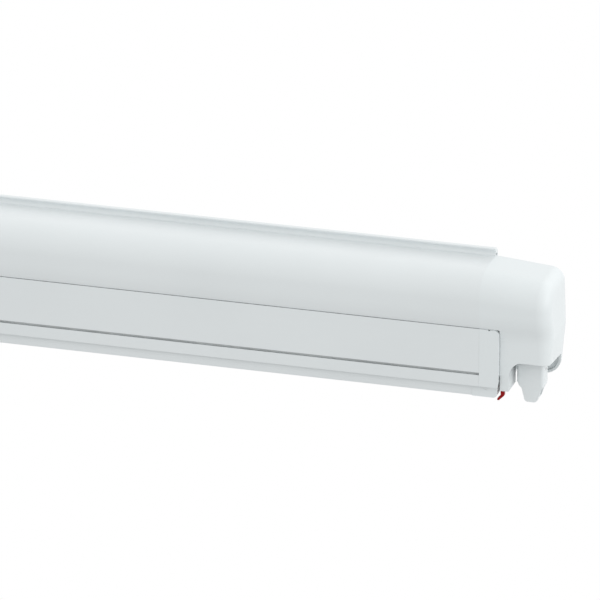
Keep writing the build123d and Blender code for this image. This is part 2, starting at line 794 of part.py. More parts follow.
def make_shoulder_bracket():
    """Bracket on the casing's back wall and floor with two ears round the arm's root."""
    back_y = (chamber_back_y - arm_wall, chamber_back_y)
    inner_x = shoulder_x - ear_radius
    outer_x = casing_half - seat_clearance
    front_y = upper_arm_y - ear_radius
    bracket = block((inner_x, outer_x), back_y, (floor_top_z, arm_top_z))
    bracket += block((inner_x, outer_x), (front_y, chamber_back_y), (floor_top_z, arm_bottom_z))
    web_x = shoulder_x + ear_radius + ear_gap
    bracket += block((web_x, web_x + arm_corner), (front_y, chamber_back_y), (floor_top_z, arm_top_z))
    ear = rect((inner_x, web_x), (upper_arm_y, chamber_back_y))
    ear += rect((shoulder_x, web_x), (front_y, chamber_back_y))
    ear += Location((shoulder_x, upper_arm_y)) * Circle(ear_radius)
    for low in (arm_bottom_z, arm_top_z - ear_thickness):
        bracket += along_z(ear, low, low + ear_thickness)
    for hole in bracket_screw_holes(chamber_back_y):
        bracket -= hole
    return bracket - rod_z(shoulder_x, upper_arm_y, arm_bottom_z, arm_top_z + overrun,
                           joint_pin_radius + pin_clearance)


def make_wrist_bracket():
    """Bracket on the lead bar's back with two ears round the forearm's tip."""
    plate_y = (lead_back_y, lead_back_y + arm_wall)
    inner_x = shoulder_x - ear_radius
    outer_x = shoulder_x + elbow_reach
    bracket = block((inner_x, outer_x), plate_y, (arm_bottom_z, arm_top_z))
    ear = rect((inner_x, shoulder_x + ear_radius), (lead_back_y, forearm_y))
    ear += Location((shoulder_x, forearm_y)) * Circle(ear_radius)
    for low in (arm_bottom_z, arm_top_z - ear_thickness):
        bracket += along_z(ear, low, low + ear_thickness)
    for hole in bracket_screw_holes(lead_back_y):
        bracket -= hole
    return bracket - rod_z(shoulder_x, forearm_y, arm_bottom_z - overrun, arm_top_z + overrun,
                           joint_pin_radius + pin_clearance)


def bracket_screw_places():
    """Places (x, z) of the right-hand shoulder and wrist brackets' screws."""
    x = shoulder_x + (ear_radius + elbow_reach) / 2
    return [(x, arm_bottom_z + ear_thickness), (x, arm_top_z - ear_thickness)]


def bracket_screw_holes(face_y):
    """Cutters for the right-hand bracket screws, through both faces at face_y."""
    holes = []
    for x, z in bracket_screw_places():
        holes.append(rod_y(x, face_y - bracket_screw_length, face_y + bracket_screw_length, z,
                           screw_radius + screw_clearance))
    return holes


def make_bracket_screws(face_y, direction):
    """Screws through the brackets on the face at face_y, driven towards direction along Y."""
    screws = []
    seat_y = face_y - direction * arm_wall
    tip_y = seat_y + direction * bracket_screw_length
    top_y = seat_y - direction * screw_head_height
    for side in (-1, 1):
        for x, z in bracket_screw_places():
            shank = rod_y(side * x, min(seat_y, tip_y), max(seat_y, tip_y), z, screw_radius)
            head = rod_y(side * x, min(seat_y, top_y), max(seat_y, top_y), z, screw_head_radius)
            screws.append(shank + head)
    return Compound(children=screws)


def make_lead_bar():
    """Front extrusion: closed box above, groove in the face, channel for the legs below."""
    box = rect((lead_front_y, lead_back_y), (groove_top_z - lead_wall, lead_top_z))
    box -= rect((channel_front_y, lead_back_y - lead_wall), (groove_top_z, lead_top_z - lead_wall))
    box += rect((lead_back_y - keder_boss, lead_back_y), (lead_top_z - keder_boss, lead_top_z))
    ceiling_top = channel_z + lead_wall
    section = box + rect((channel_front_y, foot_back_y), (channel_z, ceiling_top))
    groove_y = (lead_front_y + groove_depth, lead_front_y + groove_depth + lead_wall)
    section -= rect((lead_front_y - overrun, groove_y[0]), (groove_bottom_z, groove_top_z))
    section += rect(groove_y, (groove_bottom_z - lead_wall, groove_top_z))
    section += rect((lead_front_y, groove_y[1]), (groove_bottom_z - lead_wall, groove_bottom_z))
    section += rect((lead_front_y, channel_front_y), (lead_bottom_z, groove_bottom_z))
    section += rect((channel_back_y, foot_back_y), (lead_bottom_z, ceiling_top))
    section -= rect((lead_front_y - overrun, lead_front_y), (lead_bottom_z, lead_top_z))
    slot_radius = keder_radius + keder_clearance
    section -= Location((keder_y, keder_z)) * Circle(slot_radius)
    slit_z = (keder_z - fabric_thickness, keder_z + fabric_thickness)
    section -= rect((keder_y, lead_back_y + overrun), slit_z)
    bar = along_x(section, -lead_half, lead_half)
    for hole in bracket_screw_holes(lead_back_y):
        bar = bar - hole - other_side(hole)
    return bar


def make_keder_rod():
    """Fabric's beaded front edge, held in the lead bar's slot."""
    half = fabric_width / 2
    rod = rod_x(-half, half, keder_y, keder_z, keder_radius)
    neck_z = (keder_z - fabric_thickness / 2, keder_z + fabric_thickness / 2)
    return rod + block((-half, half), (keder_y, lead_back_y), neck_z)


def make_fabric_web():
    """Stretch of fabric between the roll and the lead bar."""
    roll_bottom_z = roll_z - roll_radius - seat_clearance
    start = (roll_y, roll_bottom_z)
    end = (lead_back_y + slide_clearance, keder_z + fabric_thickness / 2)
    profile = polygon(start, end, (end[0], end[1] - fabric_thickness),
                      (start[0], start[1] - fabric_thickness))
    half = fabric_width / 2
    return along_x(profile, -half, half)


def make_lead_cap():
    """Lead bar's end cap: block behind the face, thin apron below it."""
    x0 = lead_half
    x1 = lead_end_x
    outline = rect((x0, x1), (lead_bottom_z, lead_top_z))
    outline -= rect((x1 - lead_cap_corner, x1), (lead_top_z - lead_cap_corner, lead_top_z))
    corner = (x1 - lead_cap_corner, lead_top_z - lead_cap_corner)
    outline += Location(corner) * Circle(lead_cap_corner)
    outline -= polygon((x1, lead_bottom_z + lead_cap_bevel_height), (x1 + overrun, lead_bottom_z),
                       (x1, lead_bottom_z - overrun), (x1 - lead_cap_bevel, lead_bottom_z))
    cap = along_y(outline, lead_front_y, lead_back_y)
    cap -= block((x0 - overrun, x1 + overrun), (channel_front_y, lead_back_y + overrun),
                 (lead_bottom_z - overrun, channel_z))
    cap -= block((x0 - overrun, x1 - lead_wall), (channel_front_y, lead_back_y - lead_wall),
                 (channel_z + lead_wall, lead_top_z - lead_wall))
    hole_x = (x0 + x1) / 2
    return cap - rod_y(hole_x, lead_front_y - overrun, channel_front_y + overrun,
                       lead_top_z, lead_cap_hole_radius)


def make_leg_hinge():
    """Plate under the lead bar's channel roof with the lug that the leg swings on."""
    base_top = channel_z - seat_clearance / 2
    base_end = leg_pivot_x - knuckle_length / 2 + lug_radius / 2
    groove_back_y = lead_front_y + groove_depth + lead_wall
    side_y = (groove_back_y + seat_clearance, channel_back_y - seat_clearance)
    hinge = block((base_end - hinge_base_length, base_end), side_y,
                  (base_top - hinge_base_thickness, base_top))
    lug = rect((base_end - lug_radius, leg_pivot_x + lug_radius),
               (base_top - hinge_base_thickness, base_top))
    lug += rect((leg_pivot_x - lug_radius, leg_pivot_x + lug_radius), (leg_z, base_top))
    lug += Location((leg_pivot_x, leg_z)) * Circle(lug_radius)
    half = lug_thickness / 2
    hinge += along_y(lug, leg_y - half, leg_y + half)
    return hinge - rod_y(leg_pivot_x, leg_y - leg_width, leg_y + leg_width, leg_z,
                         leg_pin_radius + pin_clearance)


def make_leg_knuckle():
    """Leg's upper casting: plug, slotted cheeks and a rounded end on the hinge pin."""
    end_x = leg_pivot_x + leg_end
    outline = rect((leg_tube_x, end_x), (leg_bottom_z, leg_top_z))
    round_radius = leg_height / 2
    corner_x = end_x - round_radius
    outline -= rect((corner_x, end_x), (leg_z, leg_top_z))
    nose = Location((corner_x, leg_z)) * Circle(round_radius)
    outline += nose & rect((corner_x, end_x), (leg_z, leg_top_z))
    low_corner = (end_x - leg_end_corner, leg_bottom_z + leg_end_corner)
    outline -= rect((low_corner[0], end_x), (leg_bottom_z, low_corner[1]))
    outline += Location(low_corner) * Circle(leg_end_corner)
    half = leg_width / 2
    knuckle = along_y(outline, leg_y - half, leg_y + half)
    plug_width = leg_width - 2 * leg_wall - 2 * seat_clearance
    plug_height = leg_height - 2 * leg_wall - 2 * seat_clearance
    knuckle += block((leg_tube_x - plug_insert, leg_tube_x),
                     (leg_y - plug_width / 2, leg_y + plug_width / 2),
                     (leg_z - plug_height / 2, leg_z + plug_height / 2))
    slot_half = lug_thickness / 2 + slide_clearance
    slot_radius = lug_radius + slide_clearance
    slot = rect((leg_pivot_x - slot_radius, end_x + overrun), (leg_z, leg_top_z + overrun))
    slot += rect((leg_pivot_x, end_x + overrun), (leg_z - slot_radius, leg_top_z))
    slot += Location((leg_pivot_x, leg_z)) * Circle(slot_radius)
    knuckle -= along_y(slot, leg_y - slot_half, leg_y + slot_half)
    return knuckle - rod_y(leg_pivot_x, leg_y - leg_width, leg_y + leg_width, leg_z,
                           leg_pin_radius + pin_clearance)


def make_outer_leg():
    return rounded_tube(outer_leg_end_x, leg_tube_x, leg_y, leg_z, leg_width, leg_height,
                        leg_corner, leg_wall)


def inner_leg_size():
    shrink = 2 * leg_wall + 2 * slide_clearance
    return (leg_width - shrink, leg_height - shrink)


def make_inner_leg():
    width, height = inner_leg_size()
    x1 = leg_tube_x - plug_insert - inner_leg_stop
    return rounded_tube(outer_leg_end_x, x1, leg_y, leg_z, width, height,
                        leg_corner - slide_clearance, leg_wall)


def make_leg_tip():
    """Plug in the inner tube's end with the lug and pin that the foot swings on."""
    width, height = inner_leg_size()
    radius = height / 2 - sole_inset
    plug_width = width - 2 * leg_wall - 2 * seat_clearance
    plug_height = height - 2 * leg_wall - 2 * seat_clearance
    tip = block((outer_leg_end_x, outer_leg_end_x + plug_insert),
                (leg_y - plug_width / 2, leg_y + plug_width / 2),
                (leg_z - plug_height / 2, leg_z + plug_height / 2))
    tip += block((foot_pivot_x + radius + seat_clearance, outer_leg_end_x),
                 (leg_y - width / 2, leg_y + width / 2), (leg_z - radius, leg_z + radius))
    lug = rect((foot_pivot_x, outer_leg_end_x), (leg_z - radius, leg_z + radius))
    lug += Location((foot_pivot_x, leg_z)) * Circle(radius)
    half = foot_lug_thickness / 2
    tip += along_y(lug, leg_y - half, leg_y + half)
    return tip + rod_y(foot_pivot_x, leg_y - leg_width / 2, leg_y + leg_width / 2, leg_z,
                       foot_pin_radius)


def make_foot():
    """Hinged foot: sole plate with peg holes and two ears on the leg's tip."""
    width, height = inner_leg_size()
    radius = height / 2 - sole_inset
    half = leg_width / 2
    sole_z = (leg_z + radius + slide_clearance, leg_z + radius + slide_clearance + foot_plate)
    foot = block((foot_from_middle, foot_pivot_x + sole_inset), (leg_y - half, leg_y + half), sole_z)
    toe_edges = foot.edges().filter_by(Axis.Z).group_by(Axis.X)[0]
    foot = fillet(toe_edges, foot_plate)
    ear = rect((foot_pivot_x - radius, foot_pivot_x + sole_inset), (leg_z, sole_z[1]))
    ear += Location((foot_pivot_x, leg_z)) * Circle(radius)
    inner = foot_lug_thickness / 2 + slide_clearance
    foot += along_y(ear, leg_y - half, leg_y - inner)
    foot += along_y(ear, leg_y + inner, leg_y + half)
    for x in foot_hole_places():
        foot -= rod_z(x, leg_y, sole_z[0] - overrun, sole_z[1] + overrun, foot_hole_radius)
    return foot - rod_y(foot_pivot_x, leg_y - leg_width, leg_y + leg_width, leg_z,
                        foot_pin_radius + pin_clearance)


def foot_hole_places():
    first = foot_from_middle + 2 * foot_hole_radius
    return [first, first + 3 * foot_hole_radius]


def make_leg_pin():
    half = leg_width / 2
    return rod_y(leg_pivot_x, leg_y - half, leg_y + half, leg_z, leg_pin_radius)


def right_hand_parts():
    """Pieces that both ends of the awning have, as their right-hand form."""
    elbow_end, shoulder_end = upper_arm_span()
    return {
        "end_cap": make_end_cap(),
        "shoulder_bracket": make_shoulder_bracket(),
        "shoulder_pin": make_joint_pin(shoulder_x, upper_arm_y),
        "upper_arm_tube": make_arm_tube(upper_arm_y),
        "arm_root": arm_end(shoulder_x, upper_arm_y, shoulder_end, upper_arm_y, knuckle_radius, False),
        "elbow_fork": arm_end(elbow_x, elbow_y, elbow_end, upper_arm_y, elbow_radius(), True),
        "elbow_pin": make_joint_pin(elbow_x, elbow_y),
        "spring_and_cable": Compound(children=[make_arm_spring(), make_arm_cable()]),
        "forearm_tube": make_arm_tube(forearm_y),
        "elbow_tongue": arm_end(elbow_x, elbow_y, elbow_end, forearm_y, elbow_radius(), False),
        "forearm_tip": arm_end(shoulder_x, forearm_y, shoulder_end, forearm_y, knuckle_radius, False),
        "wrist_bracket": make_wrist_bracket(),
        "wrist_pin": make_joint_pin(shoulder_x, forearm_y),
        "lead_bar_cap": make_lead_cap(),
        "leg_hinge": make_leg_hinge(),
        "leg_knuckle": make_leg_knuckle(),
        "outer_leg": make_outer_leg(),
        "inner_leg": make_inner_leg(),
        "leg_tip": make_leg_tip(),
        "foot": make_foot(),
        "leg_catch": make_catch(),
    }


def elbow_radius():
    return ear_radius + arm_wall


def both_sides(shape):
    return Compound(children=[shape, other_side(shape)])


def all_parts():
    parts = {
        "casing": make_casing(),
        "wall_brackets": Compound(children=[make_wall_bracket(x) for x in bracket_places()]),
        "lock_screws": make_lock_screws(),
        "cap_screws": make_cap_screws(),
        "shoulder_screws": make_bracket_screws(chamber_back_y, 1),
        "wrist_screws": make_bracket_screws(lead_back_y, -1),
        "roller_tube": make_roller_tube(),
        "fabric_roll": make_fabric_roll(),
        "roller_plugs": make_roller_plugs(),
        "bevel_wheel": make_bevel_wheel(),
        "gear_housing": make_gear_housing(),
        "roller_bearing_left": other_side(bearing_plate(roller_shaft_radius)),
        "crank_shaft": make_crank_shaft(),
        "crank_eye": make_crank_eye(),
        "crank_eye_pin": make_eye_pin(),
        "lead_bar": make_lead_bar(),
        "keder_rod": make_keder_rod(),
        "fabric_web": make_fabric_web(),
        "catch_pins": both_sides(make_catch_pin()),
        "leg_pins": both_sides(make_leg_pin()),
    }
    grouped = {"shoulder_pin": "shoulder_pins", "wrist_pin": "wrist_pins"}
    for name, shape in right_hand_parts().items():
        if name in grouped:
            parts[grouped[name]] = both_sides(shape)
        else:
            parts[name + "_right"] = shape
            parts[name + "_left"] = other_side(shape)
    return parts


def main():
    os.makedirs("parts", exist_ok=True)
    for name, shape in all_parts().items():
        export_step(shape, f"parts/{name}.step")


main()
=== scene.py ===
import json
import math

import bmesh
import bpy
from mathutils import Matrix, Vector


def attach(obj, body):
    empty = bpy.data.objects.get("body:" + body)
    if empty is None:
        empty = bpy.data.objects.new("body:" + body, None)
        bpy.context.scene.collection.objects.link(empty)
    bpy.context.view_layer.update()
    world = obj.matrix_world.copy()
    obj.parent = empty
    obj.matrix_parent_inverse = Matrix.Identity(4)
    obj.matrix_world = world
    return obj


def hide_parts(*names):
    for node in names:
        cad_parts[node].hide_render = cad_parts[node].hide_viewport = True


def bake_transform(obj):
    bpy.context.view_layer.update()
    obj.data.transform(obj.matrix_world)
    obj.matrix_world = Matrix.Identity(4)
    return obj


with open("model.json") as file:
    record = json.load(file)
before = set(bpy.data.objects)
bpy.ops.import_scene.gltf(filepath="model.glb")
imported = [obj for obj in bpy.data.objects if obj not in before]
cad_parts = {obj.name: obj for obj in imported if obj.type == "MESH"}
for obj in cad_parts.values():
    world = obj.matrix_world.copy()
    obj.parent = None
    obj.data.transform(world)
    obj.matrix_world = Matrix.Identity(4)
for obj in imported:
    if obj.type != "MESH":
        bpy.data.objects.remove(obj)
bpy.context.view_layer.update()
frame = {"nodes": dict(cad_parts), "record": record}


# Studio floor and sky
# The awning hangs high on a vehicle's side, so the pale floor lies about two
# metres below it, where its unfolded legs stand. The sky is white to the camera.

floor_height = -2.03
floor_reach = 60.0
floor_colour = (0.65, 0.65, 0.65)
sky_colour = (0.99, 1.0, 1.0)
sky_strength = 0.89


def white_to_camera(tree, lit, white):
    """Shows white where the camera, a gloss or a clear surface looks straight at it."""
    path = tree.nodes.new("ShaderNodeLightPath")
    mirrored = tree.nodes.new("ShaderNodeMath")
    mirrored.operation = "MAXIMUM"
    tree.links.new(path.outputs["Is Glossy Ray"], mirrored.inputs[0])
    tree.links.new(path.outputs["Is Transmission Ray"], mirrored.inputs[1])
    seen = tree.nodes.new("ShaderNodeMath")
    seen.operation = "MAXIMUM"
    tree.links.new(path.outputs["Is Camera Ray"], seen.inputs[0])
    tree.links.new(mirrored.outputs[0], seen.inputs[1])
    mix = tree.nodes.new("ShaderNodeMixShader")
    tree.links.new(seen.outputs[0], mix.inputs[0])
    tree.links.new(lit, mix.inputs[1])
    tree.links.new(white, mix.inputs[2])
    return mix.outputs[0]


sky = bpy.data.worlds.new("studio_sky")
bpy.context.scene.world = sky
sky.use_nodes = True
sky_tree = sky.node_tree
sky_tree.nodes.clear()
sky_lit = sky_tree.nodes.new("ShaderNodeBackground")
sky_lit.inputs["Color"].default_value = (*sky_colour, 1)
sky_lit.inputs["Strength"].default_value = sky_strength
sky_white = sky_tree.nodes.new("ShaderNodeBackground")
sky_white.inputs["Color"].default_value = (1, 1, 1, 1)
sky_out = sky_tree.nodes.new("ShaderNodeOutputWorld")
sky_face = white_to_camera(sky_tree, sky_lit.outputs[0], sky_white.outputs[0])
sky_tree.links.new(sky_face, sky_out.inputs["Surface"])

floor_paint = bpy.data.materials.new("studio_floor")
floor_paint.use_nodes = True
floor_tree = floor_paint.node_tree
floor_tree.nodes.clear()
floor_lit = floor_tree.nodes.new("ShaderNodeBsdfDiffuse")
floor_lit.inputs["Color"].default_value = (*floor_colour, 1)
floor_white = floor_tree.nodes.new("ShaderNodeEmission")
floor_white.inputs["Color"].default_value = (1, 1, 1, 1)
floor_face = white_to_camera(floor_tree, floor_lit.outputs[0], floor_white.outputs[0])
floor_clear = floor_tree.nodes.new("ShaderNodeBsdfTransparent")
floor_side = floor_tree.nodes.new("ShaderNodeNewGeometry")
floor_mix = floor_tree.nodes.new("ShaderNodeMixShader")
floor_tree.links.new(floor_side.outputs["Backfacing"], floor_mix.inputs[0])
floor_tree.links.new(floor_face, floor_mix.inputs[1])
floor_tree.links.new(floor_clear.outputs[0], floor_mix.inputs[2])
floor_out = floor_tree.nodes.new("ShaderNodeOutputMaterial")
floor_tree.links.new(floor_mix.outputs[0], floor_out.inputs["Surface"])

floor_mesh = bpy.data.meshes.new("studio_floor")
floor_quarters = ((-1, -1), (1, -1), (1, 1), (-1, 1))
floor_corners = [(x * floor_reach, y * floor_reach, floor_height) for x, y in floor_quarters]
floor_mesh.from_pydata(floor_corners, [], [(0, 1, 2, 3)])
floor_mesh.materials.append(floor_paint)
floor = bpy.data.objects.new("studio_floor", floor_mesh)
bpy.context.scene.collection.objects.link(floor)


# Lamps and camera
# The sky gives the even light. One weak broad sun shines along from the crank end and
# one from high behind. The camera is a long lens that looks down on the crank end.

def studio_sun(name, towards, strength, spread):
    """Broad white sun that shines in the direction given."""
    lamp = bpy.data.lights.new(name, "SUN")
    lamp.energy = strength
    lamp.angle = math.radians(spread)
    holder = bpy.data.objects.new(name, lamp)
    holder.rotation_mode = "QUATERNION"
    holder.rotation_quaternion = Vector(towards).to_track_quat("-Z", "Y")
    bpy.context.scene.collection.objects.link(holder)


studio_sun("sun_crank_end", (-1.0, 0.15, -0.25), 0.75, 50)
studio_sun("sun_behind", (-0.45, -0.6, -0.66), 0.3, 50)

look_at = Vector((1.031, -0.036, 0.0015))
camera_side = Vector((0.2576, -0.8899, 0.3765))
camera_distance = 10.0
camera_lens = bpy.data.cameras.new("camera")
camera_lens.lens = 600
camera_lens.sensor_width = 36
camera_lens.clip_end = 100
camera = bpy.data.objects.new("camera", camera_lens)
camera.location = look_at + camera_side.normalized() * camera_distance
camera.rotation_mode = "QUATERNION"
camera.rotation_quaternion = (-camera_side).to_track_quat("-Z", "Y")
bpy.context.scene.collection.objects.link(camera)
bpy.context.scene.camera = camera
bpy.context.scene.view_settings.view_transform = "Standard"


# Wall brackets
# Three short lengths cut from a bare aluminium extrusion, screwed to the vehicle's
# wall. The casing's hook hangs over their top edge and their shelf takes the lock screw.

def shader_group(name, inputs, outputs):
    """Empty shader group with float inputs and named outputs."""
    group = bpy.data.node_groups.new(name, "ShaderNodeTree")
    for label, value in inputs:
        socket = group.interface.new_socket(label, in_out="INPUT", socket_type="NodeSocketFloat")
        socket.default_value = value
    for label in outputs:
        group.interface.new_socket(label, in_out="OUTPUT", socket_type="NodeSocketFloat")
    return group, group.nodes.new("NodeGroupInput"), group.nodes.new("NodeGroupOutput")


def shader_math(group, operation, first, second):
    """Math node's result; each value is a number or a socket."""
    node = group.nodes.new("ShaderNodeMath")
    node.operation = operation
    for slot, value in zip(node.inputs, (first, second)):
        if isinstance(value, (int, float)):
            slot.default_value = value
        else:
            group.links.new(value, slot)
    return node.outputs[0]


def shader_noise(group, coordinates, scale, detail):
    """Noise between 0 and 1; the scale is a number or a socket."""
    node = group.nodes.new("ShaderNodeTexNoise")
    node.inputs["Detail"].default_value = detail
    group.links.new(coordinates, node.inputs["Vector"])
    if isinstance(scale, (int, float)):
        node.inputs["Scale"].default_value = scale
    else:
        group.links.new(scale, node.inputs["Scale"])
    return node.outputs["Fac"]


peel, peel_in, peel_out = shader_group("orange_peel", [("Grain per metre", 450.0)], ["Height", "Cloud"])
peel_place = peel.nodes.new("ShaderNodeTexCoord").outputs["Object"]
peel_grain = peel_in.outputs["Grain per metre"]
peel_fine = shader_noise(peel, peel_place, peel_grain, 2.0)
peel_broad = shader_noise(peel, peel_place, shader_math(peel, "DIVIDE", peel_grain, 4.0), 1.0)
peel.links.new(shader_math(peel, "ADD", peel_fine, peel_broad), peel_out.inputs["Height"])
peel.links.new(shader_noise(peel, peel_place, 9.0, 3.0), peel_out.inputs["Cloud"])

lines, lines_in, lines_out = shader_group("die_lines", [("Lines per metre", 1600.0)], ["Height"])
lines_place = lines.nodes.new("ShaderNodeTexCoord").outputs["Object"]
lines_map = lines.nodes.new("ShaderNodeMapping")
lines_map.inputs["Scale"].default_value = (0.004, 1.0, 1.0)
lines.links.new(lines_place, lines_map.inputs["Vector"])
lines_height = shader_noise(lines, lines_map.outputs[0], lines_in.outputs["Lines per metre"], 3.0)
lines.links.new(lines_height, lines_out.inputs["Height"])

# Corner mask from ambient occlusion, speckled with noise. On the pale, red and metal finishes it darkens the
# colour in corners, creases and gaps as painted shade; on the black moulding it lightens them as dust.
corner_shade, corner_shade_in, corner_shade_out = shader_group("corner_shade_and_dust", [("Reach", 0.006), ("Amount", 0.5)], ["Mask"])
corner_shade_occlusion = corner_shade.nodes.new("ShaderNodeAmbientOcclusion")
corner_shade_occlusion.samples = 6
corner_shade.links.new(corner_shade_in.outputs["Reach"], corner_shade_occlusion.inputs["Distance"])
corner_shade_place = corner_shade.nodes.new("ShaderNodeTexCoord").outputs["Object"]
corner_shade_speckle = shader_noise(corner_shade, corner_shade_place, 60.0, 4.0)
corner_shade_depth = shader_math(corner_shade, "SUBTRACT", 1.0, corner_shade_occlusion.outputs["AO"])
corner_shade_patch = shader_math(corner_shade, "MULTIPLY", corner_shade_depth, shader_math(corner_shade, "ADD", corner_shade_speckle, 0.5))
corner_shade_share = shader_math(corner_shade, "MULTIPLY", corner_shade_patch, corner_shade_in.outputs["Amount"])
corner_shade.links.new(corner_shade_share, corner_shade_out.inputs["Mask"])


def new_finish(name):
    """New material and its main shader."""
    material = bpy.data.materials.new(name)
    material.use_nodes = True
    return material, material.node_tree.nodes["Principled BSDF"]


def add_effect(material, group, **values):
    """Places a shader group in a material with its own values."""
    node = material.node_tree.nodes.new("ShaderNodeGroup")
    node.node_tree = group
    for label, value in values.items():
        node.inputs[label.replace("_", " ")].default_value = value
    return node


def blend_colour(material, factor, first, second):
    """Colour between two, by a factor from the surface."""
    mix = material.node_tree.nodes.new("ShaderNodeMix")
    mix.data_type = "RGBA"
    material.node_tree.links.new(factor, mix.inputs["Factor"])
    for socket, value in ((mix.inputs["A"], first), (mix.inputs["B"], second)):
        if isinstance(value, tuple):
            socket.default_value = (*value, 1)
        else:
            material.node_tree.links.new(value, socket)
    return mix.outputs["Result"]


def spread_value(material, factor, low, high):
    """Number between low and high, by a factor from the surface."""
    spread = material.node_tree.nodes.new("ShaderNodeMapRange")
    spread.inputs["To Min"].default_value = low
    spread.inputs["To Max"].default_value = high
    material.node_tree.links.new(factor, spread.inputs["Value"])
    return spread.outputs["Result"]


def relief(material, height, depth, under=None):
    """Bump of that depth in metres, over another one where given."""
    bump = material.node_tree.nodes.new("ShaderNodeBump")
    bump.inputs["Strength"].default_value = 1.0
    bump.inputs["Distance"].default_value = depth
    material.node_tree.links.new(height, bump.inputs["Height"])
    if under is not None:
        material.node_tree.links.new(under, bump.inputs["Normal"])
    return bump.outputs["Normal"]


def metal_finish(name, colour, stained_colour, gloss, drawn_depth, grain):
    """Bare metal: stained colour, drawn lines along it and a fine grain."""
    material, shader = new_finish(name)
    tree = material.node_tree
    skin = add_effect(material, peel, Grain_per_metre=grain)
    # Painted shade: the occlusion mask darkens the metal's colour in corners and gaps.
    corner_shading = add_effect(material, corner_shade, Amount=0.8)
    stain = spread_value(material, skin.outputs["Cloud"], -0.5, 1.5)
    tinted = blend_colour(material, stain, colour, stained_colour)
    shade_and_dust_colour = tuple(share * 0.45 for share in stained_colour)
    shaded_and_dusted = blend_colour(material, corner_shading.outputs["Mask"], tinted, shade_and_dust_colour)
    tree.links.new(shaded_and_dusted, shader.inputs["Base Color"])
    rough = spread_value(material, skin.outputs["Height"], gloss - 0.08, gloss + 0.10)
    tree.links.new(rough, shader.inputs["Roughness"])
    surface = relief(material, skin.outputs["Height"], 0.000015)
    if drawn_depth:
        drawn = add_effect(material, lines)
        surface = relief(material, drawn.outputs["Height"], drawn_depth, surface)
    tree.links.new(surface, shader.inputs["Normal"])
    shader.inputs["Metallic"].default_value = 1.0
    return material


def stand_for(piece, *names):
    """Makes a piece ride with the body of CAD nodes and hides them in its place."""
    record = frame["record"]
    bodies = record["behaviour"]["bodies"]
    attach(piece, next(body for body, members in bodies.items() if names[0] in members))
    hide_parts(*names)


def ease_edges(piece, width, steps):
    """Rounds a piece's sharp edges."""
    ease = piece.modifiers.new("eased_edges", "BEVEL")
    ease.width = width
    ease.segments = steps
    ease.limit_method = "ANGLE"
    ease.angle_limit = math.radians(28)
    ease.harden_normals = True


def dress(name, material, edge=0.0004, steps=2):
    """Copies of a CAD piece, of both its sides, with merged facets and eased edges."""
    for node in [whole for whole in (name, name + "_right", name + "_left") if whole in frame["nodes"]]:
        mesh = frame["nodes"][node].data.copy()
        shape = bmesh.new()
        shape.from_mesh(mesh)
        bmesh.ops.remove_doubles(shape, verts=shape.verts, dist=0.00001)
        bmesh.ops.dissolve_limit(shape, angle_limit=math.radians(0.6), verts=shape.verts, edges=shape.edges)
        shape.to_mesh(mesh)
        shape.free()
        mesh.materials.clear()
        mesh.materials.append(material)
        mesh.shade_smooth()
        mesh.set_sharp_from_angle(angle=math.radians(28))
        piece = bpy.data.objects.new("dressed_" + node, mesh)
        bpy.context.scene.collection.objects.link(piece)
        if edge:
            ease_edges(piece, edge, steps)
        stand_for(piece, node)


bare_aluminium = metal_finish("bare_aluminium", (0.72, 0.73, 0.74), (0.62, 0.63, 0.65), 0.34, 0.00002, 300.0)
dress("wall_brackets", bare_aluminium, 0.0003)


# Lock screws
# A zinc-plated socket screw up through each bracket's shelf into the casing's floor,
# which keeps the hung casing from lifting off its brackets.

def node_tree(name, inputs):
    """Empty geometry tree with a geometry input and output and the named inputs."""
    tree = bpy.data.node_groups.new(name, "GeometryNodeTree")
    tree.interface.new_socket("Geometry", in_out="INPUT", socket_type="NodeSocketGeometry")
    for label, kind in inputs:
        tree.interface.new_socket(label, in_out="INPUT", socket_type="NodeSocket" + kind)
    tree.interface.new_socket("Geometry", in_out="OUTPUT", socket_type="NodeSocketGeometry")
    return tree, tree.nodes.new("NodeGroupInput").outputs, tree.nodes.new("NodeGroupOutput").inputs


def place_node(tree, kind, **values):
    """New geometry node; each value is a number, a vector or a socket."""
    node = tree.nodes.new("GeometryNode" + kind)
    for label, value in values.items():
        socket = node.inputs[label.replace("_", " ")]
        if isinstance(value, (int, float, bool, tuple)):
            socket.default_value = value
        else:
            tree.links.new(value, socket)
    return node


def tree_number(tree, operation, first, second):
    """Result of a Math node in a geometry tree."""
    node = tree.nodes.new("ShaderNodeMath")
    node.operation = operation
    for slot, value in zip(node.inputs, (first, second)):
        if isinstance(value, (int, float)):
            slot.default_value = value
        else:
            tree.links.new(value, slot)
    return node.outputs[0]


def tree_place(tree, x, y, z):
    """Vector from three values, each a number or a socket."""
    node = tree.nodes.new("ShaderNodeCombineXYZ")
    for slot, value in zip(node.inputs, (x, y, z)):
        if isinstance(value, (int, float)):
            slot.default_value = value
        else:
            tree.links.new(value, slot)
    return node.outputs[0]


def end_tree(tree, geometry, finish, output):
    """Ends a tree in real geometry with its finish set."""
    real = place_node(tree, "RealizeInstances", Geometry=geometry)
    smooth = place_node(tree, "SetShadeSmooth", Geometry=real.outputs[0], Shade_Smooth=True)
    painted = place_node(tree, "SetMaterial", Geometry=smooth.outputs[0], Material=finish)
    tree.links.new(painted.outputs[0], output)


def grow(name, tree, points, values):
    """Plain mesh object that a geometry tree makes from loose points."""
    mesh = bpy.data.meshes.new(name)
    mesh.from_pydata(points, [], [])
    seed = bpy.data.objects.new(name, mesh)
    bpy.context.scene.collection.objects.link(seed)
    growth = seed.modifiers.new("growth", "NODES")
    growth.node_group = tree
    for item in tree.interface.items_tree:
        if item.in_out == "INPUT" and item.name in values:
            growth[item.identifier] = values[item.name]
    seed.update_tag()
    grown = bpy.data.meshes.new_from_object(seed.evaluated_get(bpy.context.evaluated_depsgraph_get()))
    seed.modifiers.clear()
    seed.data = grown
    grown.name = name
    grown.set_sharp_from_angle(angle=math.radians(28))
    return seed


